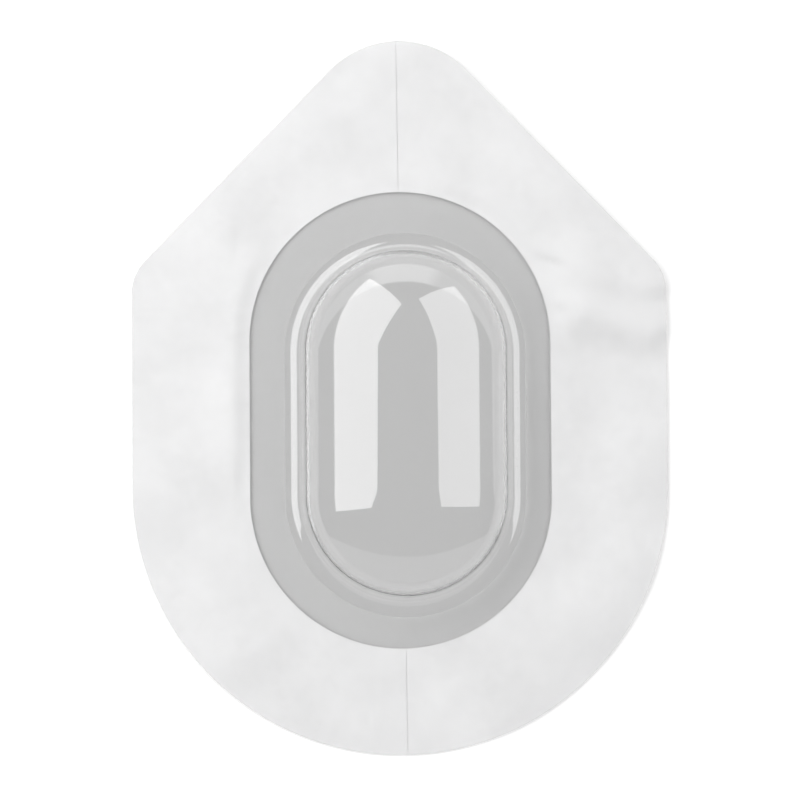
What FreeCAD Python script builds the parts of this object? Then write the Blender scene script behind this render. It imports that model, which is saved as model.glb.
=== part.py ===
import FreeCAD, Part
import math
import os
import Sketcher
from FreeCAD import Vector
from Sketcher import Constraint

# Surgical eye shield: a clear dome with a flat rim, formed from one piece of plastic. It is held
# by a pointed, round-bottomed sheet of clear film with glue under it. The glue is covered by a
# paper liner in two halves, which are pulled off before the shield is put over the eye.
# Millimetres and degrees. +Z points away from the face. +Y points to the sheet's tip, at the brow.
# The origin is at the middle of the sheet's length and width, on the surface that it lies on.

doc = FreeCAD.newDocument("eye_shield")

DIMENSIONS = {
    # Outline of the sheet, cut through film, glue and liner in one stroke
    "sheet_width": 93.0,
    "sheet_length": 124.4,
    "tip_radius": 16.7,
    "slant_angle": 44.1,
    "corner_radius": 8.0,
    # Flat rim of the dome
    "rim_width": 52.2,
    "rim_length": 79.4,
    "rim_below_centre": 4.0,
    # The dome, whose foot stands a little off the middle of the rim, as it was cut
    "dome_wall": 0.5,
    "foot_width": 41.2,
    "foot_length": 66.3,
    "dome_right_of_rim": 0.9,
    "dome_below_rim": 0.95,
    "foot_blend_radius": 3.0,
    "side_draft": 5.0,
    "side_height": 2.0,
    "shoulder_radius": 7.0,
    "crown_half_angle": 45.0,
    # Layers of the sheet
    "film_thickness": 0.1,
    "glue_thickness": 0.05,
    "liner_thickness": 0.12,
    # Clearances round the dome and its rim
    "film_hole_clearance": 0.3,
    "film_lap": 0.1,
    "window_clearance": 0.5,
    "window_right_of_rim": 0.25,
    # The cut that parts the liner, a little slanted
    "split_gap": 0.25,
    "split_offset": 0.3,
    "split_slant": 0.6,
}

sizes = doc.addObject("Spreadsheet::Sheet", "Sizes")
for row, (alias, number) in enumerate(DIMENSIONS.items(), start=1):
    sizes.set(f"A{row}", alias.replace("_", " "))
    sizes.set(f"B{row}", str(number))
    sizes.setAlias(f"B{row}", alias)
doc.recompute()


class Size:
    """A length or angle: its number now, and the expression over the spreadsheet that gives it."""

    def __init__(self, number, text):
        self.number = number
        self.text = text

    def __add__(self, other):
        return Size(self.number + other.number, f"({self.text} + {other.text})")

    def __sub__(self, other):
        return Size(self.number - other.number, f"({self.text} - {other.text})")

    def __mul__(self, factor):
        return Size(self.number * factor, f"({self.text} * {factor})")

    def __neg__(self):
        return self * -1


def size(alias):
    return Size(getattr(sizes, alias), f"Sizes.{alias}")


NOTHING = Size(0.0, "0")


# Helpers for bodies and sketches

# The Sketcher's numbers for a sketch's two axes, and for the start, end and centre of a piece
H_AXIS, V_AXIS = range(-1, -3, -1)
START, END, CENTRE = range(1, 4)
ORIGIN = (H_AXIS, START)


def new_body(label, y=NOTHING, z=NOTHING):
    """A piece of the shield, drawn about its own centre and put in place on the sheet."""
    body = doc.addObject("PartDesign::Body", label)
    body.Label = label
    body.Placement.Base = Vector(0, y.number, z.number)
    body.setExpression("Placement.Base.y", y.text)
    body.setExpression("Placement.Base.z", z.text)
    return body


def new_sketch(body, name, plane, x=NOTHING, y=NOTHING, z=NOTHING):
    """A sketch on one of the body's own planes, moved by x and y in the plane and z off it."""
    sketch = body.newObject("Sketcher::SketchObject", name)
    origin_plane = next(item for item in body.Origin.OriginFeatures if item.Role == plane)
    sketch.AttachmentSupport = [(origin_plane, "")]
    sketch.MapMode = "FlatFace"
    for axis, shift in zip("xyz", (x, y, z)):
        sketch.setExpression(f"AttachmentOffset.Base.{axis}", shift.text)
    return sketch


def drive(sketch, kind, *geometry, by):
    """Adds a dimension to the sketch that follows a size."""
    number = math.radians(by.number) if kind == "Angle" else by.number
    index = sketch.addConstraint(Constraint(kind, *geometry, number))
    sketch.renameConstraint(index, f"dimension{index}")
    unit = " * 1 deg" if kind == "Angle" else ""
    sketch.setExpression(f"Constraints.dimension{index}", by.text + unit)


def line(start, end):
    return Part.LineSegment(Vector(*start, 0), Vector(*end, 0))


def arc(centre, radius, first, last):
    """An arc that runs anticlockwise from one angle to another, both in degrees from +X."""
    circle = Part.Circle(Vector(*centre, 0), Vector(0, 0, 1), radius)
    return Part.ArcOfCircle(circle, math.radians(first), math.radians(last))


def join_smoothly(sketch, joints):
    """Makes neighbours meet end to end with no corner. A joint is (piece, end, piece, end)."""
    for joint in joints:
        sketch.addConstraint(Constraint("Tangent", *joint))


def pad(body, sketch, name, length, symmetric=False):
    feature = body.newObject("PartDesign::Pad", name)
    feature.Profile = sketch
    feature.SideType = "Symmetric" if symmetric else "One side"
    feature.setExpression("Length", length.text)
    return feature


def cut_through(body, sketch, name, depth):
    """Cuts the sketch's area out of the body, over a depth above and below the sketch."""
    feature = body.newObject("PartDesign::Pocket", name)
    feature.Profile = sketch
    feature.SideType = "Symmetric"
    feature.setExpression("Length", (depth * 4).text)
    return feature


# Outlines that several pieces share


def stadium(body, name, width, length, x=NOTHING, y=NOTHING, z=NOTHING):
    """A long rounded shape about its own centre: two straight sides and two half circles."""
    sketch = new_sketch(body, name, "XY_Plane", x, y, z)
    radius = width * 0.5
    straight = length - width
    side = radius.number
    reach = straight.number / 2
    right, top, left, bottom = range(4)
    sketch.addGeometry(
        [
            line((side, -reach), (side, reach)),
            arc((0, reach), side, 0, 180),
            line((-side, reach), (-side, -reach)),
            arc((0, -reach), side, 180, 360),
        ]
    )
    join_smoothly(
        sketch,
        [
            (right, END, top, START),
            (top, END, left, START),
            (left, END, bottom, START),
            (bottom, END, right, START),
        ],
    )
    sketch.addConstraint(
        [
            Constraint("PointOnObject", top, CENTRE, V_AXIS),
            Constraint("Symmetric", top, CENTRE, bottom, CENTRE, *ORIGIN),
            Constraint("Equal", top, bottom),
        ]
    )
    drive(sketch, "Radius", top, by=radius)
    drive(sketch, "DistanceY", bottom, CENTRE, top, CENTRE, by=straight)
    return sketch


def sheet_outline(body, name):
    """The outline of the sheet: rounded tip, two slants, rounded corners, sides, half circle."""
    sketch = new_sketch(body, name, "XY_Plane")
    slant = math.radians(DIMENSIONS["slant_angle"])
    half = DIMENSIONS["sheet_width"] / 2
    tip = DIMENSIONS["tip_radius"]
    corner = DIMENSIONS["corner_radius"]
    tip_y = DIMENSIONS["sheet_length"] / 2 - tip
    round_y = half - DIMENSIONS["sheet_length"] / 2
    # The corner's centre lies one corner radius inside both the side and the slant.
    corner_x = half - corner
    corner_y = tip_y + (tip - corner - corner_x * math.cos(slant)) / math.sin(slant)
    slant_angle = DIMENSIONS["slant_angle"]

    def on_slant(centre_x, centre_y, radius):
        return (centre_x + radius * math.cos(slant), centre_y + radius * math.sin(slant))

    tip_end = on_slant(0, tip_y, tip)
    corner_end = on_slant(corner_x, corner_y, corner)
    shape = [
        arc((0, tip_y), tip, slant_angle, 180 - slant_angle),
        line((-tip_end[0], tip_end[1]), (-corner_end[0], corner_end[1])),
        arc((-corner_x, corner_y), corner, 180 - slant_angle, 180),
        line((-half, corner_y), (-half, round_y)),
        arc((0, round_y), half, 180, 360),
        line((half, round_y), (half, corner_y)),
        arc((corner_x, corner_y), corner, 0, slant_angle),
        line(corner_end, tip_end),
    ]
    sketch.addGeometry(shape)
    tip_arc, left_slant, left_corner, left_side = range(4)
    base_arc, right_side, right_corner, right_slant = range(4, 8)
    count = len(shape)
    join_smoothly(sketch, [(i, END, (i + 1) % count, START) for i in range(count)])
    sketch.addConstraint(
        [
            Constraint("PointOnObject", tip_arc, CENTRE, V_AXIS),
            Constraint("PointOnObject", base_arc, CENTRE, V_AXIS),
            Constraint("Vertical", left_side),
            Constraint("Vertical", right_side),
            Constraint("Equal", left_corner, right_corner),
        ]
    )
    drive(sketch, "Radius", tip_arc, by=size("tip_radius"))
    drive(sketch, "Radius", left_corner, by=size("corner_radius"))
    drive(sketch, "Radius", base_arc, by=size("sheet_width") * 0.5)
    drive(sketch, "Angle", left_slant, left_side, by=size("slant_angle"))
    drive(sketch, "Angle", right_side, right_slant, by=size("slant_angle"))
    tip_height = size("sheet_length") * 0.5 - size("tip_radius")
    base_depth = (size("sheet_length") - size("sheet_width")) * 0.5
    drive(sketch, "DistanceY", *ORIGIN, tip_arc, CENTRE, by=tip_height)
    drive(sketch, "DistanceY", base_arc, CENTRE, *ORIGIN, by=base_depth)
    return sketch


# Eye dome: flat rim, a small hollow blend at the foot, drafted sides, a full shoulder and a
# flatter crown. One section of its wall is padded along the straight middle and turned round
# both ends, so the wall keeps one thickness everywhere.


def wall_section(body, name, along):
    """Half a section of the dome's wall, from the middle of the crown out to the rim."""
    wall = DIMENSIONS["dome_wall"]
    foot = DIMENSIONS["foot_width"] / 2
    blend = DIMENSIONS["foot_blend_radius"]
    shoulder = DIMENSIONS["shoulder_radius"]
    draft_angle = DIMENSIONS["side_draft"]
    crown_angle = DIMENSIONS["crown_half_angle"]
    draft = math.radians(draft_angle)
    tilt = math.radians(crown_angle)

    def step(start, length, angle):
        return (start[0] + length * math.cos(angle), start[1] + length * math.sin(angle))

    # Centres and joints of the outer face, from the foot up
    blend_centre = (foot, wall + blend)
    side_low = step(blend_centre, -blend, draft)
    rise = DIMENSIONS["side_height"]
    side_high = (side_low[0] - rise * math.tan(draft), side_low[1] + rise)
    shoulder_centre = step(side_high, -shoulder, draft)
    crown = shoulder + shoulder_centre[0] / math.sin(tilt)
    crown_centre = step(shoulder_centre, shoulder - crown, math.pi / 2 - tilt)
    top = crown_centre[1] + crown

    sketch = new_sketch(body, name, "XZ_Plane", size("dome_right_of_rim"), NOTHING, along)
    inner_low = step(side_low, -wall, draft)
    inner_high = step(side_high, -wall, draft)
    shape = [
        line((foot, 0), (foot, wall)),
        arc(blend_centre, blend, 180 + draft_angle, 270),
        line(side_low, side_high),
        arc(shoulder_centre, shoulder, draft_angle, 90 - crown_angle),
        arc(crown_centre, crown, 90 - crown_angle, 90),
        line((0, top), (0, top - wall)),
        arc(crown_centre, crown - wall, 90 - crown_angle, 90),
        arc(shoulder_centre, shoulder - wall, draft_angle, 90 - crown_angle),
        line(inner_high, inner_low),
        arc(blend_centre, blend + wall, 180 + draft_angle, 270),
        line(crown_centre, step(crown_centre, crown, math.pi / 2 - tilt)),
    ]
    sketch.addGeometry(shape)
    edge, outer_blend, outer_side, outer_shoulder, outer_crown, middle = range(6)
    inner_crown, inner_shoulder, inner_side, inner_blend, crown_ray = range(6, 11)
    sketch.setConstruction(crown_ray, True)
    join_smoothly(
        sketch,
        [
            (outer_blend, START, outer_side, START),
            (outer_side, END, outer_shoulder, START),
            (outer_shoulder, END, outer_crown, START),
            (inner_crown, START, inner_shoulder, END),
            (inner_shoulder, START, inner_side, START),
            (inner_side, END, inner_blend, START),
        ],
    )
    sketch.addConstraint(
        [
            Constraint("Coincident", edge, END, outer_blend, END),
            Constraint("Coincident", edge, START, inner_blend, END),
            Constraint("Coincident", outer_crown, END, middle, START),
            Constraint("Coincident", middle, END, inner_crown, END),
            Constraint("Coincident", outer_blend, CENTRE, inner_blend, CENTRE),
            Constraint("Coincident", outer_shoulder, CENTRE, inner_shoulder, CENTRE),
            Constraint("Coincident", outer_crown, CENTRE, inner_crown, CENTRE),
            Constraint("Coincident", crown_ray, START, outer_crown, CENTRE),
            Constraint("Coincident", crown_ray, END, outer_crown, START),
            Constraint("PointOnObject", edge, START, H_AXIS),
            Constraint("Vertical", edge, START, outer_blend, CENTRE),
            Constraint("Vertical", edge),
            Constraint("PointOnObject", outer_crown, CENTRE, V_AXIS),
            Constraint("PointOnObject", middle, START, V_AXIS),
            Constraint("PointOnObject", middle, END, V_AXIS),
        ]
    )
    drive(sketch, "DistanceX", *ORIGIN, edge, START, by=size("foot_width") * 0.5)
    drive(sketch, "DistanceY", edge, START, edge, END, by=size("dome_wall"))
    drive(sketch, "Radius", outer_blend, by=size("foot_blend_radius"))
    drive(sketch, "DistanceY", outer_side, START, outer_side, END, by=size("side_height"))
    drive(sketch, "Angle", V_AXIS, outer_side, by=size("side_draft"))
    drive(sketch, "Radius", outer_shoulder, by=size("shoulder_radius"))
    drive(sketch, "Angle", crown_ray, START, V_AXIS, START, by=size("crown_half_angle"))
    return sketch


def make_eye_dome():
    body = new_body("eye_dome", y=-size("rim_below_centre"))
    wall = size("dome_wall")
    dome_x = size("dome_right_of_rim")
    dome_y = -size("dome_below_rim")

    rim = stadium(body, "RimOutline", size("rim_width"), size("rim_length"))
    pad(body, rim, "Rim", wall)
    foot = stadium(
        body, "FootOutline", size("foot_width"), size("foot_length"), dome_x, dome_y
    )
    cut_through(body, foot, "FootOpening", wall)

    # The sketches' third direction is -Y.
    straight = size("foot_length") - size("foot_width")
    side = pad(body, wall_section(body, "SideSection", -dome_y), "Side", straight, True)
    other_side = body.newObject("PartDesign::Mirrored", "OtherSide")
    other_side.Originals = [side]
    other_side.MirrorPlane = (side.Profile[0], ["V_Axis"])
    body.Tip = other_side
    for name, half, backwards in (("Upper", -straight * 0.5, False), ("Lower", straight * 0.5, True)):
        end = body.newObject("PartDesign::Revolution", name + "End")
        section = wall_section(body, name + "EndSection", half - dome_y)
        end.Profile = section
        end.ReferenceAxis = (section, ["V_Axis"])
        end.Angle = 180
        end.Reversed = backwards
        body.Tip = end
    return body


# Layers of the sheet: the film, and the glue under it. Each lies flat on what is below it, climbs
# the rim of the dome and ends at the dome's foot.


def make_layer(label, thickness, below):
    body = new_body(label, z=below)
    rim_x = NOTHING
    rim_y = -size("rim_below_centre")
    climb = size("dome_wall") - size("liner_thickness")
    pad(body, sheet_outline(body, "SheetOutline"), "Sheet", thickness)

    def window(name, z):
        """The outline where the climb begins: the edge of the liner's window."""
        width = size("rim_width") + size("window_clearance") * 2
        length = size("rim_length") + size("window_clearance") * 2
        return stadium(body, name, width, length, size("window_right_of_rim"), rim_y, z)

    def crest(name, z):
        """The outline where the climb ends, just outside the rim's edge."""
        width = size("rim_width") + size("film_lap") * 2
        length = size("rim_length") + size("film_lap") * 2
        return stadium(body, name, width, length, rim_x, rim_y, z)

    raised = body.newObject("PartDesign::AdditiveLoft", "Raised")
    raised.Profile = window("RaisedFoot", thickness)
    raised.Sections = [crest("RaisedCrest", thickness + climb)]
    raised.Ruled = True
    hollow = body.newObject("PartDesign::SubtractiveLoft", "Hollow")
    hollow.Profile = window("HollowFoot", NOTHING)
    hollow.Sections = [crest("HollowCrest", climb)]
    hollow.Ruled = True

    hole = stadium(
        body,
        "HoleOutline",
        size("foot_width") + size("film_hole_clearance") * 2,
        size("foot_length") + size("film_hole_clearance") * 2,
        size("dome_right_of_rim"),
        rim_y - size("dome_below_rim"),
    )
    cut_through(body, hole, "Hole", size("dome_wall") + thickness)
    return body


# Liner halves: the same outline, parted by one cut, with a window that lets the rim lie between


def beyond_cut(body, name, side):
    """A block that covers all of the sheet on one side of the cut: 1 is its right, -1 its left."""
    edge = size("split_offset") + size("split_gap") * (-side / 2)
    sketch = new_sketch(body, name, "XY_Plane", edge)
    sketch.AttachmentOffset.Rotation = FreeCAD.Rotation(Vector(0, 0, 1), 0)
    sketch.setExpression("AttachmentOffset.Rotation.Angle", "Sizes.split_slant * 1 deg")
    far = side * DIMENSIONS["sheet_width"]
    reach = DIMENSIONS["sheet_length"]
    corners = [(0, reach), (0, -reach), (far, -reach), (far, reach)]
    count = len(corners)
    cut, bottom, outside, top = range(count)
    sketch.addGeometry([line(corners[i], corners[(i + 1) % count]) for i in range(count)])
    sketch.addConstraint(
        [Constraint("Coincident", i, END, (i + 1) % count, START) for i in range(count)]
    )
    sketch.addConstraint(
        [
            Constraint("Symmetric", cut, START, cut, END, *ORIGIN),
            Constraint("PointOnObject", cut, START, V_AXIS),
            Constraint("Horizontal", bottom),
            Constraint("Horizontal", top),
            Constraint("Vertical", outside),
        ]
    )
    drive(sketch, "DistanceY", cut, END, cut, START, by=size("sheet_length") * 2)
    across = (bottom, START, bottom, END) if side > 0 else (bottom, END, bottom, START)
    drive(sketch, "DistanceX", *across, by=size("sheet_width"))
    return sketch


def make_liner(label, side):
    """Half of the liner: side is 1 for the right half and -1 for the left."""
    body = new_body(label)
    paper = size("liner_thickness")
    pad(body, sheet_outline(body, "SheetOutline"), "Paper", paper)
    cut_through(body, beyond_cut(body, "BeyondCut", -side), "SplitCut", paper)
    window = stadium(
        body,
        "WindowOutline",
        size("rim_width") + size("window_clearance") * 2,
        size("rim_length") + size("window_clearance") * 2,
        size("window_right_of_rim"),
        -size("rim_below_centre"),
    )
    cut_through(body, window, "Window", paper)
    return body


pieces = [
    make_eye_dome(),
    make_layer("dressing_film", size("film_thickness"), size("liner_thickness") + size("glue_thickness")),
    make_layer("adhesive_coat", size("glue_thickness"), size("liner_thickness")),
    make_liner("liner_left", -1),
    make_liner("liner_right", 1),
]
doc.recompute()

# Every object is sound, and every piece is one valid solid, before any is written
for item in doc.Objects:
    if "Invalid" in item.State or "Error" in item.State:
        raise RuntimeError(f"{item.Label} failed: {item.State}")
for piece in pieces:
    if piece.Shape.isNull() or not piece.Shape.isValid() or len(piece.Shape.Solids) != 1:
        raise RuntimeError(f"{piece.Label} is not one valid solid")

os.makedirs("parts", exist_ok=True)
for piece in pieces:
    piece.Shape.exportStep(f"parts/{piece.Label}.step")
    box = piece.Shape.BoundBox
    print(
        f"{piece.Label}: {piece.Shape.Volume:.1f} cubic mm,"
        f" x {box.XMin:.2f} to {box.XMax:.2f}, y {box.YMin:.2f} to {box.YMax:.2f},"
        f" z {box.ZMin:.2f} to {box.ZMax:.2f}"
    )
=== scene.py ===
# %% [markdown]
# A surgical eye shield: a clear dome that keeps pressure off the eye after an operation. Its flat
# rim is held by a sheet of clear film, pointed at the brow and round at the cheek, with glue on
# its underside. A paper liner in two halves covers the glue until the shield is used.
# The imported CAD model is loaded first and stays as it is. Every mesh made below lies at the place
# of the solid that it stands for, in metres, so nothing has to be fitted afterwards.

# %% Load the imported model
import math

import bmesh
import bpy
import numpy as np
from mathutils import Matrix, Vector


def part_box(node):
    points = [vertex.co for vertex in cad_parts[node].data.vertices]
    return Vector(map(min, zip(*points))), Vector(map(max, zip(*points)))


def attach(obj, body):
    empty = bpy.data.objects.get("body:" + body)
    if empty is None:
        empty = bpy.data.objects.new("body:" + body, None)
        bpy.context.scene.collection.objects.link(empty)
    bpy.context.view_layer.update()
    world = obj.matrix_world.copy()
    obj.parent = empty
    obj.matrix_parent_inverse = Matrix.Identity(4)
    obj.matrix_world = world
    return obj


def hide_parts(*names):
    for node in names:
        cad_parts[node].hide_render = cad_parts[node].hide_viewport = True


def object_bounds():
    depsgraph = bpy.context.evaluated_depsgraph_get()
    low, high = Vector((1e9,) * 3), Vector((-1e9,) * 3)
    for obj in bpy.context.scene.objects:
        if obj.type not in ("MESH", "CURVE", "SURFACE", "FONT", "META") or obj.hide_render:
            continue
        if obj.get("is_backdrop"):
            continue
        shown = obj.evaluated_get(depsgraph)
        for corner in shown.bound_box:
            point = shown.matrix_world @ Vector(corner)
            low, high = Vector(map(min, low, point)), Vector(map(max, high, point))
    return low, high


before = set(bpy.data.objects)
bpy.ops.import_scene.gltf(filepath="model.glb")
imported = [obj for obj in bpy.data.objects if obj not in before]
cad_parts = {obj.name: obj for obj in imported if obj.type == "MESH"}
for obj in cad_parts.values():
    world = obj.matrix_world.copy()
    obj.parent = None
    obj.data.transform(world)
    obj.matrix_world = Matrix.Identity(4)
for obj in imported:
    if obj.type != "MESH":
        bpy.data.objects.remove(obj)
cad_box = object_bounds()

print("nodes:", sorted(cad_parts))

# %% [markdown]
# Sizes are easiest to read in millimetres, as on a drawing. The overall sizes come from the solids
# themselves. The inner sizes of the dome's section and of the layers are the drawing's own, because
# a box can't show them. Only beside the rim are the layers a little tighter than the solids: soft
# film clings to the rim's edge, and the paper nearly touches it.

# %% Read the sizes
MM = 0.001

film_low, film_high = (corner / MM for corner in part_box("dressing_film"))
dome_low, dome_high = (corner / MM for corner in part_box("eye_dome"))
SHEET_WIDTH = film_high.x - film_low.x
SHEET_LENGTH = film_high.y - film_low.y
RIM_WIDTH = dome_high.x - dome_low.x
RIM_LENGTH = dome_high.y - dome_low.y
RIM_CENTRE = np.array([(dome_high.x + dome_low.x) / 2, (dome_high.y + dome_low.y) / 2])

TIP_RADIUS = 16.7
CORNER_RADIUS = 8.0
SLANT = math.radians(44.1)

WALL = 0.5
FOOT_WIDTH = 41.2
FOOT_LENGTH = 66.3
FOOT_OFFSET = np.array([0.9, -0.95])
FOOT_CENTRE = RIM_CENTRE + FOOT_OFFSET
FOOT_BLEND = 3.0
SIDE_DRAFT = 5.0
SIDE_HEIGHT = 2.0
SHOULDER = 7.0
CROWN_ANGLE = 45.0

PAPER = 0.12
GLUE = 0.05
FILM = 0.1
HOLE_CLEARANCE = 0.3
FILM_LAP = 0.02
WINDOW_CLEARANCE = 0.10
WINDOW_SHIFT = 0.06

print(f"sheet {SHEET_WIDTH:.1f} by {SHEET_LENGTH:.1f} mm, rim {RIM_WIDTH:.1f} by {RIM_LENGTH:.1f} mm")

# %% [markdown]
# The photograph looks almost straight down on the shield, from far off through a long lens, so its
# sides stay parallel. It leans a few degrees to the left and to the cheek side: the dome's wall
# shows narrower at the brow end than at the cheek end. A look-at matrix built from three axes gives
# that view, and its slight turn, without any constraint.

# %% Place the camera
PICTURE_PX = 800
SHEET_WIDTH_PX = 535.0
SENSOR = 36.0
VIEW_DISTANCE = 1.0
NEAREST_SEEN = 0.01
LEAN = Vector((-0.035, -0.087, 1.0))
TURN = math.radians(0.4)
AIM = Vector((0.0, -0.55, 0.0)) * MM

back = LEAN.normalized()
across = Vector((math.sin(TURN), math.cos(TURN), 0)).cross(back).normalized()
upward = back.cross(across)

camera_data = bpy.data.cameras.new("camera")
camera_data.sensor_width = SENSOR
camera_data.lens = SENSOR * VIEW_DISTANCE / (SHEET_WIDTH * MM / SHEET_WIDTH_PX * PICTURE_PX)
camera_data.clip_start = NEAREST_SEEN
camera = bpy.data.objects.new("camera", camera_data)
turned = Matrix((across, upward, back)).transposed().to_4x4()
camera.matrix_world = Matrix.Translation(AIM + back * VIEW_DISTANCE) @ turned
bpy.context.scene.collection.objects.link(camera)
bpy.context.scene.camera = camera
print(f"camera: lens {camera_data.lens:.0f} mm, {VIEW_DISTANCE:.1f} m away")

# %% [markdown]
# Two soft boxes light the shield, one to its left and one to its right, both a little towards the
# brow. They show as the two bright strips in the dome. A flat lamp of the right size does that and
# gives the soft light on the sheet as well. Each lamp's place was worked out by following the
# corners of its strip back from the dome's curve. A third one evens out the light at the cheek end
# and leaves no mirrored strip. The camera doesn't see the lamps themselves.

# %% Light the shield
DOME_FOOT = Vector((FOOT_CENTRE[0], FOOT_CENTRE[1], 0)) * MM
SOFT_BOXES = {
    # name: place from the dome's middle, way it faces, way its long side runs, long side, watts
    "soft_box_left": ((-0.421, 0.240, 0.479), (0.756, -0.535, -0.376), (0.505, 0.843, -0.186), 1.00, 5.5),
    "soft_box_right": ((0.521, 0.312, 0.452), (-0.711, -0.326, -0.623), (-0.299, 0.942, -0.153), 0.96, 4.0),
    "cheek_fill": ((-0.42, -0.28, 0.36), (0.68, 0.45, -0.58), (0.55, -0.83, 0.0), 0.60, 1.6),
}
SOFT_BOX_WIDTH = 0.6
WITHOUT_STRIP = "cheek_fill"


def add_soft_box(name, place, facing, along, length, watts):
    """A flat rectangular lamp. It shines along its own -Z, so +Z points away from the shield."""
    lamp = bpy.data.lights.new(name, "AREA")
    lamp.shape = "RECTANGLE"
    lamp.size = SOFT_BOX_WIDTH
    lamp.size_y = length
    lamp.energy = watts
    z_axis = -Vector(facing).normalized()
    x_axis = Vector(along).cross(z_axis).normalized()
    y_axis = z_axis.cross(x_axis)
    holder = bpy.data.objects.new(name, lamp)
    axes = Matrix((x_axis, y_axis, z_axis)).transposed().to_4x4()
    holder.matrix_world = Matrix.Translation(DOME_FOOT + Vector(place)) @ axes
    holder.visible_camera = False
    holder.visible_glossy = holder.visible_transmission = name != WITHOUT_STRIP
    bpy.context.scene.collection.objects.link(holder)


for lamp_name, lamp_values in SOFT_BOXES.items():
    add_soft_box(lamp_name, *lamp_values)
print("lamps:", ", ".join(SOFT_BOXES))

# %% [markdown]
# A material here is a small network of nodes. These helpers add a node with its settings, join
# sockets, and make noise and fine relief, so that each finish below reads as a short list.

# %% Make helpers for node networks


def add_node(tree, kind, **settings):
    node = tree.nodes.new(kind)
    for name, value in settings.items():
        setattr(node, name, value)
    return node


def fill(node, **inputs):
    """Sets a node's unlinked sockets. A name's underscores stand for spaces."""
    for name, value in inputs.items():
        node.inputs[name.replace("_", " ")].default_value = value
    return node


def new_material(name):
    material = bpy.data.materials.new(name)
    material.use_nodes = True
    material.node_tree.nodes.clear()
    return material, material.node_tree


def calculate(tree, operation, first, second=0.0):
    """A Math node. Each value is a number or the socket that it comes from."""
    node = add_node(tree, "ShaderNodeMath", operation=operation)
    for socket, value in zip(node.inputs, (first, second)):
        if isinstance(value, bpy.types.NodeSocket):
            tree.links.new(value, socket)
        else:
            socket.default_value = value
    return node.outputs[0]


def seen_rays(tree):
    """1 for rays that show a surface to the camera: straight, mirrored or through glass."""
    path = add_node(tree, "ShaderNodeLightPath").outputs
    mirrored = calculate(tree, "MAXIMUM", path["Is Glossy Ray"], path["Is Transmission Ray"])
    return calculate(tree, "MAXIMUM", path["Is Camera Ray"], mirrored)


def add_noise(tree, scale, detail):
    """Even noise that keeps its place on the piece. Scale counts its bumps in each metre."""
    place = add_node(tree, "ShaderNodeTexCoord").outputs["Object"]
    texture = fill(add_node(tree, "ShaderNodeTexNoise"), Scale=scale, Detail=detail)
    tree.links.new(place, texture.inputs["Vector"])
    return texture.outputs[0]


def scaled(tree, value, low, high, start=0.0, end=1.0):
    """Spreads a value between start and end over another range."""
    node = add_node(tree, "ShaderNodeMapRange")
    tree.links.new(value, node.inputs["Value"])
    fill(node, From_Min=start, From_Max=end, To_Min=low, To_Max=high)
    return node.outputs["Result"]


def add_relief(tree, height, strength, distance):
    """A surface's direction, tilted by a fine relief that isn't in the mesh."""
    node = fill(add_node(tree, "ShaderNodeBump"), Strength=strength, Distance=distance)
    tree.links.new(height, node.inputs["Height"])
    return node.outputs["Normal"]


def send_out(tree, shader):
    """Makes a shader the surface of its material."""
    output = add_node(tree, "ShaderNodeOutputMaterial")
    tree.links.new(shader.outputs[0], output.inputs["Surface"])


print("helpers for node networks are ready")

# %% [markdown]
# Clear plastic is drawn almost wholly by what it mirrors. The studio above the table is dim, apart
# from two pale parts low down: a sweep of paper behind the brow end, and the room beyond the cheek
# end. Rays that mirror or pass through the plastic get this picture, and the camera itself sees
# white. The light that falls on the shield from the world is a weak plain grey, and the soft boxes
# do the rest.

# %% Make the studio round the shield
STUDIO_GREY = 0.10
SWEEP_TOP = 0.40
SWEEP_WHITE = 1.8
SWEEP_END = 0.5
ROOM_TOP = 0.62
ROOM_GREY = 0.6
ROOM_ROUNDING = 0.12
EDGE_SOFTNESS = 0.03
END_BEGINS, END_COMPLETE = 0.3, 0.5
LEAST_AWAY = 0.001
FILL_LIGHT = 0.06


def low_part(tree, axes, side, top, rounding, level, end_level):
    """A pale part of the studio on one side: below a slope, and with its own share at its ends."""
    away = calculate(tree, "MAXIMUM", calculate(tree, "MULTIPLY", axes["Y"], side), LEAST_AWAY)
    sideways = calculate(tree, "DIVIDE", axes["X"], away)
    drop = calculate(tree, "MULTIPLY", calculate(tree, "MULTIPLY", sideways, sideways), rounding)
    slope = calculate(tree, "DIVIDE", axes["Z"], away)
    below = calculate(tree, "SUBTRACT", top, calculate(tree, "ADD", slope, drop))
    part = add_node(tree, "ShaderNodeMapRange", interpolation_type="SMOOTHSTEP")
    fill(part, From_Min=-EDGE_SOFTNESS, From_Max=EDGE_SOFTNESS, To_Max=level)
    tree.links.new(below, part.inputs["Value"])
    off_middle = calculate(tree, "ABSOLUTE", sideways)
    ends = scaled(tree, off_middle, 1.0, end_level, END_BEGINS, END_COMPLETE)
    return calculate(tree, "MULTIPLY", part.outputs["Result"], ends)


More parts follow.
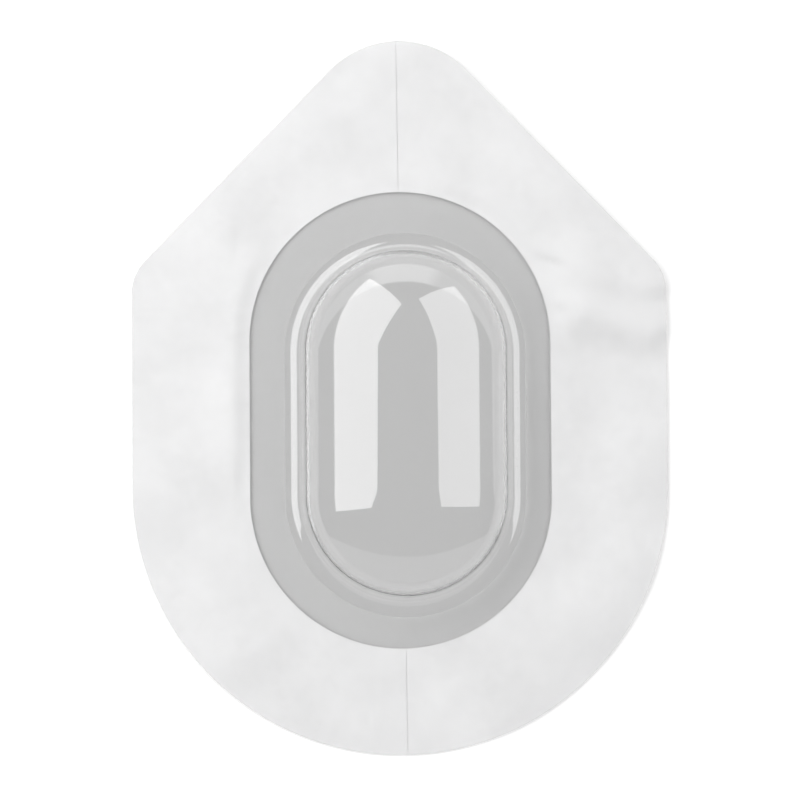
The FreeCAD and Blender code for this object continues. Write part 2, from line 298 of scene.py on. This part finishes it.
def make_world():
    world = bpy.data.worlds.new("studio")
    world.use_nodes = True
    tree = world.node_tree
    tree.nodes.clear()
    direction = add_node(tree, "ShaderNodeTexCoord").outputs["Generated"]
    split = add_node(tree, "ShaderNodeSeparateXYZ")
    tree.links.new(direction, split.inputs[0])
    sweep = low_part(tree, split.outputs, 1, SWEEP_TOP, 0.0, SWEEP_WHITE, SWEEP_END)
    room = low_part(tree, split.outputs, -1, ROOM_TOP, ROOM_ROUNDING, ROOM_GREY, 1.0)
    studio = calculate(tree, "MAXIMUM", calculate(tree, "MAXIMUM", sweep, room), STUDIO_GREY)
    path = add_node(tree, "ShaderNodeLightPath").outputs
    shown = add_node(tree, "ShaderNodeMix", data_type="FLOAT")
    tree.links.new(path["Is Camera Ray"], shown.inputs["Factor"])
    tree.links.new(studio, shown.inputs["A"])
    fill(shown, B=1.0)
    strength = add_node(tree, "ShaderNodeMix", data_type="FLOAT")
    fill(strength, A=FILL_LIGHT)
    tree.links.new(seen_rays(tree), strength.inputs["Factor"])
    tree.links.new(shown.outputs["Result"], strength.inputs["B"])
    background = fill(add_node(tree, "ShaderNodeBackground"), Color=(1, 1, 1, 1))
    tree.links.new(strength.outputs["Result"], background.inputs["Strength"])
    output = add_node(tree, "ShaderNodeOutputWorld")
    tree.links.new(background.outputs[0], output.inputs["Surface"])
    return world


bpy.context.scene.world = make_world()
bpy.context.scene.view_settings.view_transform = "Standard"
print("world: dim overhead, paler low down at brow and cheek")

# %% [markdown]
# The photograph's ground is pure white round the shield, yet a pale grey where it is seen through
# the clear plastic. So the floor is a pale grey surface that adds a little light of its own, but
# only where it is seen straight or in a mirror, not through a clear layer. The shield keeps its
# soft shadow on it.

# %% Lay the floor
FLOOR_HALF_WIDTH = 1.6
FLOOR_DROP = 0.05 * MM
FLOOR_COLOUR = (0.57, 0.57, 0.57, 1)
MIRRORED_GLOW = 0.4
FLOOR_GLOW = 0.54
FLOOR_GRAIN, FLOOR_GRAIN_DETAIL = 900.0, 4.0
FLOOR_RELIEF, FLOOR_RELIEF_DEPTH = 0.05, 0.1 * MM


def bare_view(tree):
    """1 for a surface seen straight, less for a mirrored one, and 0 through a clear layer."""
    path = add_node(tree, "ShaderNodeLightPath").outputs
    bare = calculate(tree, "LESS_THAN", path["Transparent Depth"], 0.5)
    straight = calculate(tree, "MULTIPLY", path["Is Camera Ray"], bare)
    mirrored = calculate(tree, "SUBTRACT", path["Is Glossy Ray"], path["Is Transmission Ray"])
    return calculate(tree, "MAXIMUM", straight, calculate(tree, "MULTIPLY", mirrored, MIRRORED_GLOW))


def make_floor_material():
    material, tree = new_material("white_table")
    grain = add_noise(tree, FLOOR_GRAIN, FLOOR_GRAIN_DETAIL)
    pale = fill(add_node(tree, "ShaderNodeBsdfDiffuse"), Color=FLOOR_COLOUR)
    relief = add_relief(tree, grain, FLOOR_RELIEF, FLOOR_RELIEF_DEPTH)
    tree.links.new(relief, pale.inputs["Normal"])
    glow = fill(add_node(tree, "ShaderNodeEmission"), Color=(1, 1, 1, 1))
    tree.links.new(calculate(tree, "MULTIPLY", bare_view(tree), FLOOR_GLOW), glow.inputs["Strength"])
    both = add_node(tree, "ShaderNodeAddShader")
    tree.links.new(pale.outputs[0], both.inputs[0])
    tree.links.new(glow.outputs[0], both.inputs[1])
    send_out(tree, both)
    return material


def make_floor():
    mesh = bpy.data.meshes.new("floor")
    half = FLOOR_HALF_WIDTH
    corners = [(-half, -half, 0), (half, -half, 0), (half, half, 0), (-half, half, 0)]
    mesh.from_pydata(corners, [], [(0, 1, 2, 3)])
    mesh.materials.append(make_floor_material())
    floor = bpy.data.objects.new("floor", mesh)
    floor.location.z = -FLOOR_DROP
    bpy.context.scene.collection.objects.link(floor)
    return floor


make_floor()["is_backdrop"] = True
print("floor: just under the liner")

# %% [markdown]
# Every outline of the layers is what a tight band takes round a few circles: two each for the hole,
# for the crest at the rim's edge and for the window, and four for the sheet. So one function can
# draw them all. It turns through every direction and takes the circle that reaches farthest there.

# %% Draw the outlines
TURN_STEPS = 1440


def band_round(circles):
    """Points along a tight band round the circles, each (x, y, radius), anticlockwise."""
    angles = np.linspace(0, 2 * math.pi, TURN_STEPS, endpoint=False)
    ways = np.stack([np.cos(angles), np.sin(angles)], 1)
    centres = np.array([circle[:2] for circle in circles])
    radii = np.array([circle[2] for circle in circles])
    farthest = np.argmax(ways @ centres.T + radii, 1)
    return centres[farthest] + radii[farthest, None] * ways


def long_round(centre, width, length, clearance):
    """Two circles: straight sides, half-round ends and an even clearance outside the given size."""
    reach = (length - width) / 2
    radius = width / 2 + clearance
    return [(centre[0], centre[1] + reach, radius), (centre[0], centre[1] - reach, radius)]


def sheet_circles():
    """The sheet: a rounded tip, two rounded corners where its slants end, and a round base."""
    half = SHEET_WIDTH / 2
    tip_y = SHEET_LENGTH / 2 - TIP_RADIUS
    corner_x = half - CORNER_RADIUS
    rise = TIP_RADIUS - CORNER_RADIUS - corner_x * math.cos(SLANT)
    corner_y = tip_y + rise / math.sin(SLANT)
    return [
        (0, tip_y, TIP_RADIUS),
        (-corner_x, corner_y, CORNER_RADIUS),
        (corner_x, corner_y, CORNER_RADIUS),
        (0, half - SHEET_LENGTH / 2, half),
    ]


def area_inside(outline):
    after = np.roll(outline, -1, 0)
    return 0.5 * abs(np.sum(outline[:, 0] * after[:, 1] - after[:, 0] * outline[:, 1]))


window_centre = RIM_CENTRE + np.array([WINDOW_SHIFT, 0])
sheet_edge = band_round(sheet_circles())
crest_edge = band_round(long_round(RIM_CENTRE, RIM_WIDTH, RIM_LENGTH, FILM_LAP))
window_edge = band_round(long_round(window_centre, RIM_WIDTH, RIM_LENGTH, WINDOW_CLEARANCE))
hole_edge = band_round(long_round(FOOT_CENTRE, FOOT_WIDTH, FOOT_LENGTH, HOLE_CLEARANCE))
print(f"the sheet covers {area_inside(sheet_edge) / 100:.1f} square cm")

# %% [markdown]
# Film, glue and liner lie on each other with hardly any gap, so their meshes must bend in exactly
# the same way or one would poke through the next. They share one set of spokes: straight lines that
# leave the shield's long middle square to the rim and run out to the edge. The spokes at brow and
# cheek lie on the liner's cut, so the two halves part along them.

# %% Lay out the spokes
CUT_OFFSET = 0.3
CUT_SLANT = math.radians(0.6)
CUT_GAP = 0.05
END_SPOKES = 120
SIDE_SPOKES = 28
PARALLEL = 1e-12
MISS = 1e-9


def make_spokes():
    """Start and direction of each spoke, anticlockwise from the brow end of the cut."""
    middle = np.array([CUT_OFFSET - RIM_CENTRE[1] * math.tan(CUT_SLANT), RIM_CENTRE[1]])
    cut_way = np.array([-math.sin(CUT_SLANT), math.cos(CUT_SLANT)])
    reach = (RIM_LENGTH - RIM_WIDTH) / 2
    quarter = np.linspace(0, math.pi / 2, END_SPOKES // 2 + 1)
    slide = np.linspace(1, -1, SIDE_SPOKES + 1)[1:-1]
    angles = np.concatenate([quarter, np.full(len(slide), math.pi / 2), quarter + math.pi / 2])
    along = np.concatenate([np.ones(len(quarter)), slide, -np.ones(len(quarter))])
    angles = np.concatenate([angles, angles[1:-1] + math.pi]) + math.pi / 2 + CUT_SLANT
    along = np.concatenate([along, -along[1:-1]])
    starts = middle + along[:, None] * reach * cut_way
    ways = np.stack([np.cos(angles), np.sin(angles)], 1)
    return starts, ways


def meet(starts, ways, outline):
    """Where each spoke meets a closed outline."""
    edges = np.roll(outline, -1, 0) - outline
    offsets = outline[None] - starts[:, None]

    def cross(a, b):
        return a[..., 0] * b[..., 1] - a[..., 1] * b[..., 0]

    slope = cross(ways[:, None], edges[None])
    slope[np.abs(slope) < PARALLEL] = PARALLEL
    distance = cross(offsets, edges[None]) / slope
    share = cross(offsets, ways[:, None]) / slope
    hit = (share >= -MISS) & (share <= 1 + MISS) & (distance > 0)
    return np.where(hit, distance, 0).max(1)


spoke_starts, spoke_ways = make_spokes()
hole_reach = meet(spoke_starts, spoke_ways, hole_edge)
crest_reach = meet(spoke_starts, spoke_ways, crest_edge)
window_reach = meet(spoke_starts, spoke_ways, window_edge)
sheet_reach = meet(spoke_starts, spoke_ways, sheet_edge)
LAST_LEFT_SPOKE = len(spoke_starts) // 2
print(f"{len(spoke_starts)} spokes, {sheet_reach.min():.1f} to {sheet_reach.max():.1f} mm long")

# %% [markdown]
# A sheet of paper and film never lies quite flat. Low swells stand off the table between rim and
# edge, and a soft fold crosses it beside the dome's upper right. Each swell is a smooth ridge along
# a short line, and some are steeper on one side than on the other. All of them fade out at the rim,
# where the sheet rises by most of the rim's thickness. A slope that faces a lamp shows as a pale
# patch.

# %% Raise the swells
SWELLS = [
    # from x, y, to x, y, half width on its left, half width on its right, height
    (32.0, 14.4, 43.0, 11.3, 5.0, 3.6, 1.10),
    (31.0, 22.5, 42.0, 19.2, 6.5, 3.6, 0.90),
    (10.0, 66.0, 40.0, 40.0, 16.0, 16.0, 1.50),
    (-28.3, -8.0, -28.6, 22.0, 8.5, 4.5, 0.60),
    (-24.0, 38.0, -34.0, 27.0, 6.0, 7.0, 0.50),
    (-27.0, -42.0, -44.0, -18.0, 7.0, 8.0, 0.55),
    (20.0, -50.0, 42.0, -30.0, 8.0, 8.0, 0.45),
    (-16.0, 44.0, -3.0, 55.0, 6.0, 6.0, 0.25),
    (10.0, 44.0, 22.0, 32.0, 5.0, 5.0, 0.25),
    (45.0, 0.0, 42.0, -18.0, 6.0, 6.0, 0.30),
]
EDGE_LIFT = 0.12
RIM_LIFT = 0.30
RIM_LIFT_WIDTH = 5.0
HELD_DOWN = 3.0


def ridge(points, x1, y1, x2, y2, left_width, right_width, height):
    """Height of one swell at each point."""
    start = np.array([x1, y1])
    line = np.array([x2, y2]) - start
    offset = points - start
    share = np.clip(offset @ line / (line @ line), 0, 1)
    distance = np.linalg.norm(offset - share[..., None] * line, axis=-1)
    on_left = line[0] * offset[..., 1] - line[1] * offset[..., 0] > 0
    return height * np.exp(-((distance / np.where(on_left, left_width, right_width)) ** 2))


def smooth(share):
    share = np.clip(share, 0, 1)
    return share * share * (3 - 2 * share)


def lift(points, share, distance):
    """How far the sheet stands off the table. Share and distance grow outward from the window."""
    total = EDGE_LIFT * smooth(share) + RIM_LIFT * np.exp(-((distance / RIM_LIFT_WIDTH) ** 2))
    for swell in SWELLS:
        total = total + ridge(points, *swell) * smooth(distance / HELD_DOWN)
    return total


sample = lift(sheet_edge, np.ones(len(sheet_edge)), HELD_DOWN)
print(f"the sheet's edge stands {sample.min():.2f} to {sample.max():.2f} mm off the table")

# %% [markdown]
# A thin layer is a skin of rings: they go out over its upper face and down its edge, and
# neighbouring rings are joined by four-sided faces. The paper can be peeled off and looked at from
# below, so its rings come back underneath, and the cut through each half gets its own row of faces.
# Film and glue need no second face: a ray that looks through them should meet each layer once.

# %% Make helpers for layered meshes
SAME_POINT = 0.0005 * MM
SHEET_CREASE = 50


def finish_mesh(name, points, faces, sharp_angle, material):
    """Makes an object from points in millimetres. Creases past the angle stay sharp."""
    mesh = bpy.data.meshes.new(name)
    mesh.from_pydata((np.asarray(points) * MM).tolist(), [], faces)
    skin = bmesh.new()
    skin.from_mesh(mesh)
    bmesh.ops.remove_doubles(skin, verts=skin.verts, dist=SAME_POINT)
    bmesh.ops.recalc_face_normals(skin, faces=skin.faces)
    skin.to_mesh(mesh)
    skin.free()
    mesh.shade_smooth()
    mesh.set_sharp_from_angle(angle=math.radians(sharp_angle))
    mesh.materials.append(material)
    piece = bpy.data.objects.new(name, mesh)
    bpy.context.scene.collection.objects.link(piece)
    return piece


def ring_faces(rings, around, closed, returns):
    """Faces between rings. Closed rings join end to start, and the last ring can join the first."""
    faces = []
    last = around if closed else around - 1
    for ring in range(rings if returns else rings - 1):
        here = ring * around
        there = (ring + 1) % rings * around
        for i in range(last):
            j = (i + 1) % around
            faces.append((here + i, here + j, there + j, there + i))
    return faces


def cut_faces(rings, around):
    """The two rows of faces that close an open layer where it was cut."""
    faces = []
    for column in (0, around - 1):
        for ring in range(rings // 2 - 1):
            under = rings - 1 - ring
            faces.append([k * around + column for k in (ring, ring + 1, under - 1, under)])
    return faces


def paper_piece(name, upper, lower, material):
    """A thin closed piece between two stacks of rings, both from the inner edge to the outer."""
    stack = np.concatenate([upper, lower[::-1]])
    rings, around = stack.shape[:2]
    faces = ring_faces(rings, around, False, True) + cut_faces(rings, around)
    return finish_mesh(name, stack.reshape(-1, 3), faces, SHEET_CREASE, material)


def clear_piece(name, stack, material):
    """A skin with one face through a stack of closed rings."""
    faces = ring_faces(*stack.shape[:2], True, False)
    return finish_mesh(name, stack.reshape(-1, 3), faces, SHEET_CREASE, material)


print("helpers for layered meshes are ready")

# %% [markdown]
# The dome is formed from one clear sheet of stiff plastic, heated and drawn over a mould, then cut
# round its rim. It takes most of its look from what it mirrors and lets through. The Principled
# shader is set to full transmission, with a trace of grey for the plastic's own tone and a haze
# that comes and goes softly over the surface. Bumps would break up the thin lines of light in the
# steep wall. Rays that only carry light pass straight through, which keeps the render clean.

# %% Make the clear plastic
PLASTIC_TINT = 0.94
PLASTIC_INDEX = 1.6
HAZE_SPOTS, HAZE_DETAIL = 60.0, 0.0
LEAST_HAZE, MOST_HAZE = 0.01, 0.03


def light_rays(tree):
    """1 for rays that carry light to other surfaces: shadow rays and scattered rays."""
    path = add_node(tree, "ShaderNodeLightPath").outputs
    return calculate(tree, "MAXIMUM", path["Is Shadow Ray"], path["Is Diffuse Ray"])


def mix_shaders(tree, share, first, second):
    """Mixes two shaders and sends them to the output. Share 1 is all of the second."""
    mix = add_node(tree, "ShaderNodeMixShader")
    tree.links.new(share, mix.inputs["Fac"])
    tree.links.new(first.outputs[0], mix.inputs[1])
    tree.links.new(second.outputs[0], mix.inputs[2])
    send_out(tree, mix)


def grey(level):
    return (level, level, level, 1)


def make_clear_plastic():
    """Each ray meets two faces of the wall, so a light ray takes the square root of the tint at each."""
    material, tree = new_material("clear_plastic")
    plastic = add_node(tree, "ShaderNodeBsdfPrincipled")
    fill(plastic, Base_Color=grey(PLASTIC_TINT), IOR=PLASTIC_INDEX, Transmission_Weight=1.0)
    haze = scaled(tree, add_noise(tree, HAZE_SPOTS, HAZE_DETAIL), LEAST_HAZE, MOST_HAZE)
    tree.links.new(haze, plastic.inputs["Roughness"])
    face_tint = grey(math.sqrt(PLASTIC_TINT))
    through = fill(add_node(tree, "ShaderNodeBsdfTransparent"), Color=face_tint)
    mix_shaders(tree, light_rays(tree), plastic, through)
    return material


clear_plastic = make_clear_plastic()
print("finish:", clear_plastic.name)

# %% [markdown]
# The dome's wall has one thickness everywhere, so its inner face follows the same section moved
# inwards. The section runs from the middle of the crown over the shoulder and the drafted side into
# the hollow blend at the foot. Swept round a long oval it gives the dome, and the rim is the same
# rings carried on to their own outline. Smooth rings matter here, because every flat spot would
# break the strips of light.

# %% Build the dome
CROWN_STEPS = 22
SHOULDER_STEPS = 24
BLEND_STEPS = 26
DOME_END_STEPS = 144
DOME_SIDE_STEPS = 20
RIM_STEPS = 4
EDGE_ROUND = 0.08
EDGE_STEPS = 4
DOME_CREASE = 35


def arc_points(centre, radius, first, last, steps):
    angles = np.radians(np.linspace(first, last, steps + 1))
    return [(centre[0] + radius * math.cos(a), centre[1] + radius * math.sin(a)) for a in angles]


def wall_section(inset):
    """The dome's face from the crown to the foot, moved inwards: (distance out, height) each."""
    draft = math.radians(SIDE_DRAFT)
    foot = FOOT_WIDTH / 2
    blend_centre = (foot, WALL + FOOT_BLEND)
    low_x = blend_centre[0] - FOOT_BLEND * math.cos(draft)
    low_y = blend_centre[1] - FOOT_BLEND * math.sin(draft)
    high_x = low_x - SIDE_HEIGHT * math.tan(draft)
    high_y = low_y + SIDE_HEIGHT
    shoulder_centre = (high_x - SHOULDER * math.cos(draft), high_y - SHOULDER * math.sin(draft))
    crown = SHOULDER + shoulder_centre[0] / math.sin(math.radians(CROWN_ANGLE))
    crown_drop = (crown - SHOULDER) * math.cos(math.radians(CROWN_ANGLE))
    crown_centre = (0.0, shoulder_centre[1] - crown_drop)
    section = arc_points(crown_centre, crown - inset, 90, 90 - CROWN_ANGLE, CROWN_STEPS)
    section[0] = (0.0, section[0][1])
    section += arc_points(
        shoulder_centre, SHOULDER - inset, 90 - CROWN_ANGLE, SIDE_DRAFT, SHOULDER_STEPS
    )[1:]
    section += arc_points(blend_centre, FOOT_BLEND + inset, 180 + SIDE_DRAFT, 270, BLEND_STEPS)
    return section


def oval_ring(centre, length, width, radius, height):
    """One ring at a distance from the oval's middle line: straight sides and half-round ends."""
    reach = (length - width) / 2
    turn = np.linspace(0, math.pi, DOME_END_STEPS + 1)
    slide = np.linspace(1, -1, DOME_SIDE_STEPS + 1)[1:-1]
    angles = np.concatenate([turn, np.full(len(slide), math.pi)])
    angles = np.concatenate([angles, angles + math.pi])
    along = np.concatenate([np.ones(len(turn)), slide])
    along = np.concatenate([along, -along])
    x = centre[0] + radius * np.cos(angles)
    y = centre[1] + along * reach + radius * np.sin(angles)
    return np.stack([x, y, np.full(len(x), height)], 1)


def foot_ring(distance, height):
    return oval_ring(FOOT_CENTRE, FOOT_LENGTH, FOOT_WIDTH, distance, height)


def rim_ring(inset, height):
    return oval_ring(RIM_CENTRE, RIM_LENGTH, RIM_WIDTH, RIM_WIDTH / 2 - inset, height)


def dome_rings():
    """All rings of the dome, over the outside, round the rim's edge and back up the inside."""
    rings = [foot_ring(*point) for point in wall_section(0.0)]
    foot_top, rim_top = rings[-1], rim_ring(EDGE_ROUND, WALL)
    rings += [foot_top + (rim_top - foot_top) * step / RIM_STEPS for step in range(1, RIM_STEPS)]
    edge = arc_points((EDGE_ROUND, WALL - EDGE_ROUND), EDGE_ROUND, 90, 180, EDGE_STEPS)
    edge += arc_points((EDGE_ROUND, EDGE_ROUND), EDGE_ROUND, 180, 270, EDGE_STEPS)
    rings += [rim_ring(*point) for point in edge]
    inside = [foot_ring(*point) for point in reversed(wall_section(WALL))]
    rim_foot, foot_low = rings[-1], inside[0]
    rings += [rim_foot + (foot_low - rim_foot) * step / RIM_STEPS for step in range(1, RIM_STEPS)]
    return rings + inside


def make_dome():
    rings = np.array(dome_rings())
    count, around = rings.shape[:2]
    faces = ring_faces(count, around, True, False)
    return finish_mesh("dome_shell", rings.reshape(-1, 3), faces, DOME_CREASE, clear_plastic)


dome_shell = make_dome()
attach(dome_shell, "shield")
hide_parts("eye_dome")
dome_shell.visible_shadow = False
print(f"dome: {len(dome_shell.data.polygons)} faces, {dome_shell.dimensions.z / MM:.2f} mm high")

# %% [markdown]
# The liner is glossy release paper, white, with the faint cloudiness of short fibres. The film is
# thin and soft, a little milky, and its satin face spreads the soft boxes into a broad sheen. The
# glue only adds a slight unevenness. Film and glue are mostly a clear pass-through with a small
# share of a pale satin surface. The share grows at a flat angle, as on any thin plastic, by
# Schlick's rule. A milky layer scatters light on and hardly stops it, so rays that only carry
# light go straight through.

# %% Make the paper, the film and the glue
PAPER_LIGHT = (0.83, 0.83, 0.835, 1)
PAPER_DARK = (0.75, 0.75, 0.755, 1)
PAPER_COAT, PAPER_COAT_ROUGHNESS = 0.2, 0.35
CLOUDS, CLOUD_DETAIL = 75.0, 5.0
CLOUD_STARTS, CLOUD_FULL = 0.3, 0.7
FIBRES, FIBRE_DETAIL = 2200.0, 6.0
PAPER_SMOOTHEST, PAPER_ROUGHEST = 0.45, 0.62
FIBRE_RELIEF, FIBRE_DEPTH = 0.12, 0.1 * MM

HEAD_ON_GLOSS = 0.04
FLAT_ANGLE_GLOSS = 0.9
GLOSS_POWER = 5.0
LAYER_CLEARNESS = 0.99
LAYER_NOISE_DETAIL = 4.0
ROUGHNESS_SPREAD = 0.08
LAYER_RELIEF_DEPTH = 0.2 * MM


def blend_colours(tree, share, first, second):
    """The Mix node keeps its two colours at places 6 and 7, and their blend at place 2."""
    mix = add_node(tree, "ShaderNodeMix", data_type="RGBA")
    tree.links.new(share, mix.inputs["Factor"])
    mix.inputs[6].default_value = first
    mix.inputs[7].default_value = second
    return mix.outputs[2]


def make_release_paper():
    material, tree = new_material("release_paper")
    paper = add_node(tree, "ShaderNodeBsdfPrincipled")
    fill(paper, Coat_Weight=PAPER_COAT, Coat_Roughness=PAPER_COAT_ROUGHNESS)
    clouds = add_noise(tree, CLOUDS, CLOUD_DETAIL)
    share = scaled(tree, clouds, 0.0, 1.0, CLOUD_STARTS, CLOUD_FULL)
    tree.links.new(blend_colours(tree, share, PAPER_DARK, PAPER_LIGHT), paper.inputs["Base Color"])
    fibres = add_noise(tree, FIBRES, FIBRE_DETAIL)
    tree.links.new(scaled(tree, fibres, PAPER_SMOOTHEST, PAPER_ROUGHEST), paper.inputs["Roughness"])
    tree.links.new(add_relief(tree, fibres, FIBRE_RELIEF, FIBRE_DEPTH), paper.inputs["Normal"])
    send_out(tree, paper)
    return material


def flat_angle_gloss(tree):
    """The share of light that a clear face throws back, by Schlick's rule."""
    facing = fill(add_node(tree, "ShaderNodeLayerWeight"), Blend=0.5).outputs["Facing"]
    growth = calculate(tree, "POWER", facing, GLOSS_POWER)
    return calculate(tree, "ADD", calculate(tree, "MULTIPLY", growth, FLAT_ANGLE_GLOSS), HEAD_ON_GLOSS)


def make_thin_clear(name, tone, least, most, roughness, grain, relief):
    """A clear layer with a thin pale surface, whose share grows from least to most with its noise."""
    material, tree = new_material(name)
    surface = fill(add_node(tree, "ShaderNodeBsdfPrincipled"), Base_Color=grey(tone))
    noise = add_noise(tree, grain, LAYER_NOISE_DETAIL)
    uneven = scaled(tree, noise, roughness - ROUGHNESS_SPREAD, roughness + ROUGHNESS_SPREAD)
    tree.links.new(uneven, surface.inputs["Roughness"])
    tree.links.new(add_relief(tree, noise, relief, LAYER_RELIEF_DEPTH), surface.inputs["Normal"])
    through = fill(add_node(tree, "ShaderNodeBsdfTransparent"), Color=grey(LAYER_CLEARNESS))
    share = calculate(tree, "ADD", scaled(tree, noise, least, most), flat_angle_gloss(tree))
    looking = calculate(tree, "SUBTRACT", 1.0, light_rays(tree))
    mix_shaders(tree, calculate(tree, "MULTIPLY", share, looking), through, surface)
    return material


THIN_FINISHES = [
    # name, tone, least and most share of the surface, roughness, grain in each metre, relief
    ("clear_film", 0.84, 0.04, 0.08, 0.34, 420.0, 0.25),
    ("clear_glue", 0.82, 0.0, 0.03, 0.45, 700.0, 0.20),
]
release_paper = make_release_paper()
clear_film, clear_glue = (make_thin_clear(*finish) for finish in THIN_FINISHES)
print("finishes:", release_paper.name, clear_film.name, clear_glue.name)

# %% [markdown]
# Film and glue start at the dome's foot, lie on the rim, drop over its edge and run out to the
# sheet's outline. Their rings follow those edges along the spokes. A hair's gap is left between
# one layer and the next, so that no two faces lie in the same place.

# %% Lay film, glue and liner
LAYER_GAP = 0.01
OUTER_RINGS = 26
CLIMB_RINGS = 5
LAP_RINGS = 3


def spoke_points(reach):
    return spoke_starts + reach[:, None] * spoke_ways


def outer_lattice():
    """Places and heights of the rings from the window's edge to the sheet's edge."""
    places, heights = [], []
    for share in np.linspace(0, 1, OUTER_RINGS + 1):
        distance = (sheet_reach - window_reach) * share
        place = spoke_points(window_reach + distance)
        places.append(place)
        heights.append(lift(place, share, distance))
    return np.array(places), np.array(heights)


def inner_lattice():
    """Places and heights of the rings over the rim: flat from the hole out, then down its edge."""
    places, heights = [], []
    rim_rise = WALL - PAPER
    for share in np.linspace(0, 1, LAP_RINGS, endpoint=False):
        places.append(spoke_points(hole_reach + (crest_reach - hole_reach) * share))
        heights.append(np.full(len(spoke_starts), rim_rise))
    for share in np.linspace(0, 1, CLIMB_RINGS, endpoint=False):
        places.append(spoke_points(crest_reach + (window_reach - crest_reach) * share))
        still_up = (1 + math.cos(math.pi * share)) / 2
        heights.append(outer_heights[0] + (rim_rise - outer_heights[0]) * still_up)
    return np.array(places), np.array(heights)


def at_height(places, heights, base):
    """Joins places and heights into points, all moved up by the base."""
    return np.concatenate([places, (heights + base)[..., None]], -1)


outer_places, outer_heights = outer_lattice()
inner_places, inner_heights = inner_lattice()
all_places = np.concatenate([inner_places, outer_places])
all_heights = np.concatenate([inner_heights, outer_heights])


def add_clear_layer(name, low, high, material):
    """The upper face of a full layer, with its cut edges at the hole and at the outline."""
    upper = at_height(all_places, all_heights, high)
    lower = at_height(all_places, all_heights, low)
    return clear_piece(name, np.concatenate([lower[:1], upper, lower[-1:]]), material)


glue_layer = add_clear_layer("glue_layer", PAPER + LAYER_GAP, PAPER + GLUE - LAYER_GAP, clear_glue)
film_sheet = add_clear_layer("film_sheet", PAPER + GLUE, PAPER + GLUE + FILM, clear_film)
glue_layer.visible_shadow = film_sheet.visible_shadow = False
print(f"film: {len(film_sheet.data.polygons)} faces; glue: {len(glue_layer.data.polygons)} faces")

# %% [markdown]
# The liner is cut in two along a line down its middle, so that a finger can get under each half.
# Each half takes the spokes on its own side, and its first and last spokes step back from the cut.
# The halves are sheets, and so are the film and the glue.

# %% Lay the two halves of the liner
cut_side = np.array([math.cos(CUT_SLANT), math.sin(CUT_SLANT)])


def add_liner_half(name, spokes, side):
    places = outer_places[:, spokes].copy()
    places[:, [0, -1]] += side * CUT_GAP / 2 * cut_side
    heights = outer_heights[:, spokes]
    upper = at_height(places, heights, PAPER)
    lower = at_height(places, heights, 0.0)
    return paper_piece(name, upper, lower, release_paper)


left_spokes = list(range(LAST_LEFT_SPOKE + 1))
right_spokes = list(range(LAST_LEFT_SPOKE, len(spoke_starts))) + [0]
liner_left_sheet = add_liner_half("liner_left_sheet", left_spokes, -1)
liner_right_sheet = add_liner_half("liner_right_sheet", right_spokes, 1)
for half in (liner_left_sheet, liner_right_sheet):
    print(f"{half.name}: {len(half.data.polygons)} faces")

# %% [markdown]
# Every piece rides on the body that carries it and stands for its CAD solid, which is hidden; its finish
# came with its mesh. The flat sizes are those of the outline that the sheet is punched to.

# %% Join the pieces to their bodies
SQUARE_MM = MM * MM
film_area = (area_inside(sheet_edge) - area_inside(hole_edge)) * SQUARE_MM
liner_area = (area_inside(sheet_edge) - area_inside(window_edge)) * SQUARE_MM
whole_cut = (SHEET_WIDTH * MM, SHEET_LENGTH * MM)
half_cut = (SHEET_WIDTH / 2 * MM, SHEET_LENGTH * MM)

LAYERS = [
    (film_sheet, "shield", "dressing_film", "clear_film", whole_cut, film_area, "glue_layer"),
    (glue_layer, "shield", "adhesive_coat", "clear_glue", whole_cut, film_area, "dome_shell"),
    (liner_left_sheet, "left_liner", "liner_left", "release_paper", half_cut, liner_area / 2, "floor"),
    (liner_right_sheet, "right_liner", "liner_right", "release_paper", half_cut, liner_area / 2, "floor"),
]
for piece, body, node, slot, cut_size, cut_area, carrier in LAYERS:
    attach(piece, body)
    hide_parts(node)
    print(f"{piece.name} rides on {body}, cut area {cut_area / SQUARE_MM / 100:.1f} square cm")

# %% [markdown]
# Last, the box of the finished pieces is printed beside that of the CAD solids, so that the two can be
# compared.

# %% Print the sizes and finish
visual_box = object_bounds()
for name, (low, high) in (("CAD", cad_box), ("visual", visual_box)):
    print(f"{name} box, mm: {[round(v / MM, 2) for v in (*low, *high)]}")
